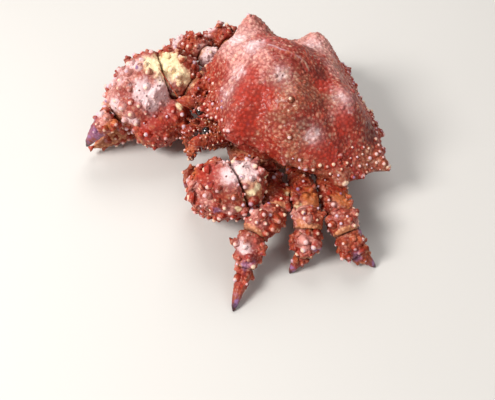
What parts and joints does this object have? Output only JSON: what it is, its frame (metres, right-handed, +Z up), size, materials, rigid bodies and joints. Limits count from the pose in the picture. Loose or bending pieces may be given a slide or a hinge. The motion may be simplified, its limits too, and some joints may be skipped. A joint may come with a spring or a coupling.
{
  "type": "puget sound king crab",
  "caption": "Still, life-size model of a Puget Sound king crab at rest, with a tall knobbed carapace, folded spiny legs and two stout claws.",
  "frame": {"origin": "on the floor, under the middle of the whole crab's box", "axes": "+Z up, -Y ahead of the crab, +X to the crab's own left"},
  "size_m": [0.266, 0.2168, 0.1035],
  "materials": {
    "carapace_shell": "wet, finely granular shell, scarlet with salmon and pale pink",
    "underside_shell": "smooth pale orange shell",
    "leg_shell": "wet, blunt-spined shell, red with pale and purple tubercle tips",
    "leg_tip": "hard horny tip, dark at the point",
    "claw_shell": "wet, blunt-spined shell, red with a pale pink, pitted boss",
    "claw_finger": "hard finger, orange brown with a purple tip",
    "feeler_shell": "thin jointed feeler",
    "mouth_shell": "small spiny mouthpart",
    "cornea": "polished dark cornea"
  },
  "bodies": {
    "root": {"abdomen_base": "underside_shell", "abdomen_front": "underside_shell", "abdomen_middle": "underside_shell", "abdomen_tail": "underside_shell", "antenna_left": "feeler_shell", "antenna_right": "feeler_shell", "antennule_left": "feeler_shell", "antennule_right": "feeler_shell", "carapace": "carapace_shell", "claw_left_base": "claw_shell", "claw_left_carpus": "claw_shell", "claw_left_finger": "claw_finger", "claw_left_merus": "claw_shell", "claw_left_palm": "claw_shell", "claw_right_base": "claw_shell", "claw_right_carpus": "claw_shell", "claw_right_finger": "claw_finger", "claw_right_merus": "claw_shell", "claw_right_palm": "claw_shell", "eye_left": "cornea", "eye_right": "cornea", "leg_1_left_base": "leg_shell", "leg_1_left_carpus": "leg_shell", "leg_1_left_dactyl": "leg_tip", "leg_1_left_merus": "leg_shell", "leg_1_left_propodus": "leg_shell", "leg_1_right_base": "leg_shell", "leg_1_right_carpus": "leg_shell", "leg_1_right_dactyl": "leg_tip", "leg_1_right_merus": "leg_shell", "leg_1_right_propodus": "leg_shell", "leg_2_left_base": "leg_shell", "leg_2_left_carpus": "leg_shell", "leg_2_left_dactyl": "leg_tip", "leg_2_left_merus": "leg_shell", "leg_2_left_propodus": "leg_shell", "leg_2_right_base": "leg_shell", "leg_2_right_carpus": "leg_shell", "leg_2_right_dactyl": "leg_tip", "leg_2_right_merus": "leg_shell", "leg_2_right_propodus": "leg_shell", "leg_3_left_base": "leg_shell", "leg_3_left_carpus": "leg_shell", "leg_3_left_dactyl": "leg_tip", "leg_3_left_merus": "leg_shell", "leg_3_left_propodus": "leg_shell", "leg_3_right_base": "leg_shell", "leg_3_right_carpus": "leg_shell", "leg_3_right_dactyl": "leg_tip", "leg_3_right_merus": "leg_shell", "leg_3_right_propodus": "leg_shell", "maxilliped_left": "mouth_shell", "maxilliped_right": "mouth_shell", "thorax": "underside_shell"}
  },
  "joints": []
}
